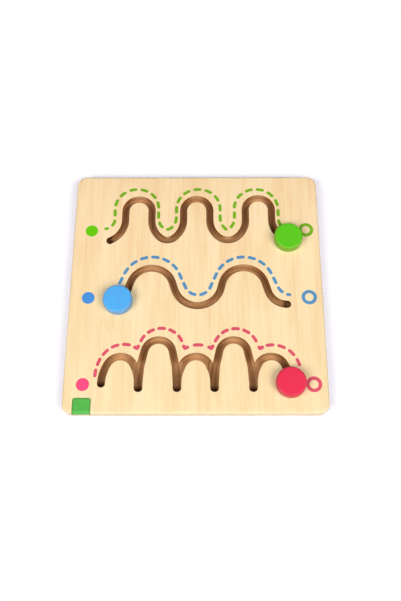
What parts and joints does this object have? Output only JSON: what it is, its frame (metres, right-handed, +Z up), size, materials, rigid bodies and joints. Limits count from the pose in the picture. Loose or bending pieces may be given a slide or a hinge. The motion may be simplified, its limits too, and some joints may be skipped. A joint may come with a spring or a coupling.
{
  "type": "tracking board",
  "caption": "Square wooden board with winding guide grooves, each holding a captive round knob that slides along its track and spins.",
  "frame": {"origin": "middle of the board's underside, where it rests on a table", "axes": "+Z up out of the grooved face, +Y to the far edge, where the track with the most humps is, +X to the right edge, where two of the knobs rest"},
  "size_m": [0.3, 0.3, 0.0269],
  "materials": {
    "light_plywood": "satin clear lacquer",
    "brown_board": "matt brown stain",
    "green_paint": "satin paint on wood",
    "blue_paint": "satin paint on wood",
    "red_paint": "satin paint on wood",
    "beech": "bare turned beech",
    "zinc_steel": "zinc plated"
  },
  "bodies": {
    "board": {"face_panel": "light_plywood", "channel_panel": "brown_board", "back_panel": "brown_board"},
    "green_runner": {"green_retainer_disc": "beech"},
    "green_slider": {"green_knob": "green_paint", "green_stem": "beech", "green_washer": "zinc_steel", "green_screw": "zinc_steel"},
    "blue_runner": {"blue_retainer_disc": "beech"},
    "blue_slider": {"blue_knob": "blue_paint", "blue_stem": "beech", "blue_washer": "zinc_steel", "blue_screw": "zinc_steel"},
    "red_runner": {"red_retainer_disc": "beech"},
    "red_slider": {"red_knob": "red_paint", "red_stem": "beech", "red_washer": "zinc_steel", "red_screw": "zinc_steel"}
  },
  "joints": [
    {"name": "green_travel", "type": "hinge", "parent": "board", "child": "green_runner", "pos_m": [0.11985, 0.0885, 0.0079], "axis": [0, 0, -1], "range_deg": [0, 71]},
    {"name": "green_spin", "type": "hinge", "parent": "green_runner", "child": "green_slider", "pos_m": [0.11091, 0.06255, 0.0154], "axis": [0, 0, 1], "continuous": true},
    {"name": "blue_travel", "type": "hinge", "parent": "board", "child": "blue_runner", "pos_m": [-0.1041, 0.00165, 0.0079], "axis": [0, 0, 1], "range_deg": [-33, 38.3]},
    {"name": "blue_spin", "type": "hinge", "parent": "blue_runner", "child": "blue_slider", "pos_m": [-0.0916, -0.0176, 0.0154], "axis": [0, 0, 1], "continuous": true},
    {"name": "red_travel", "type": "hinge", "parent": "board", "child": "red_runner", "pos_m": [0.06068, -0.11595, 0.0079], "axis": [0, 0, 1], "range_deg": [0, 30]},
    {"name": "red_spin", "type": "hinge", "parent": "red_runner", "child": "red_slider", "pos_m": [0.1068, -0.11595, 0.0154], "axis": [0, 0, 1], "continuous": true}
  ]
}
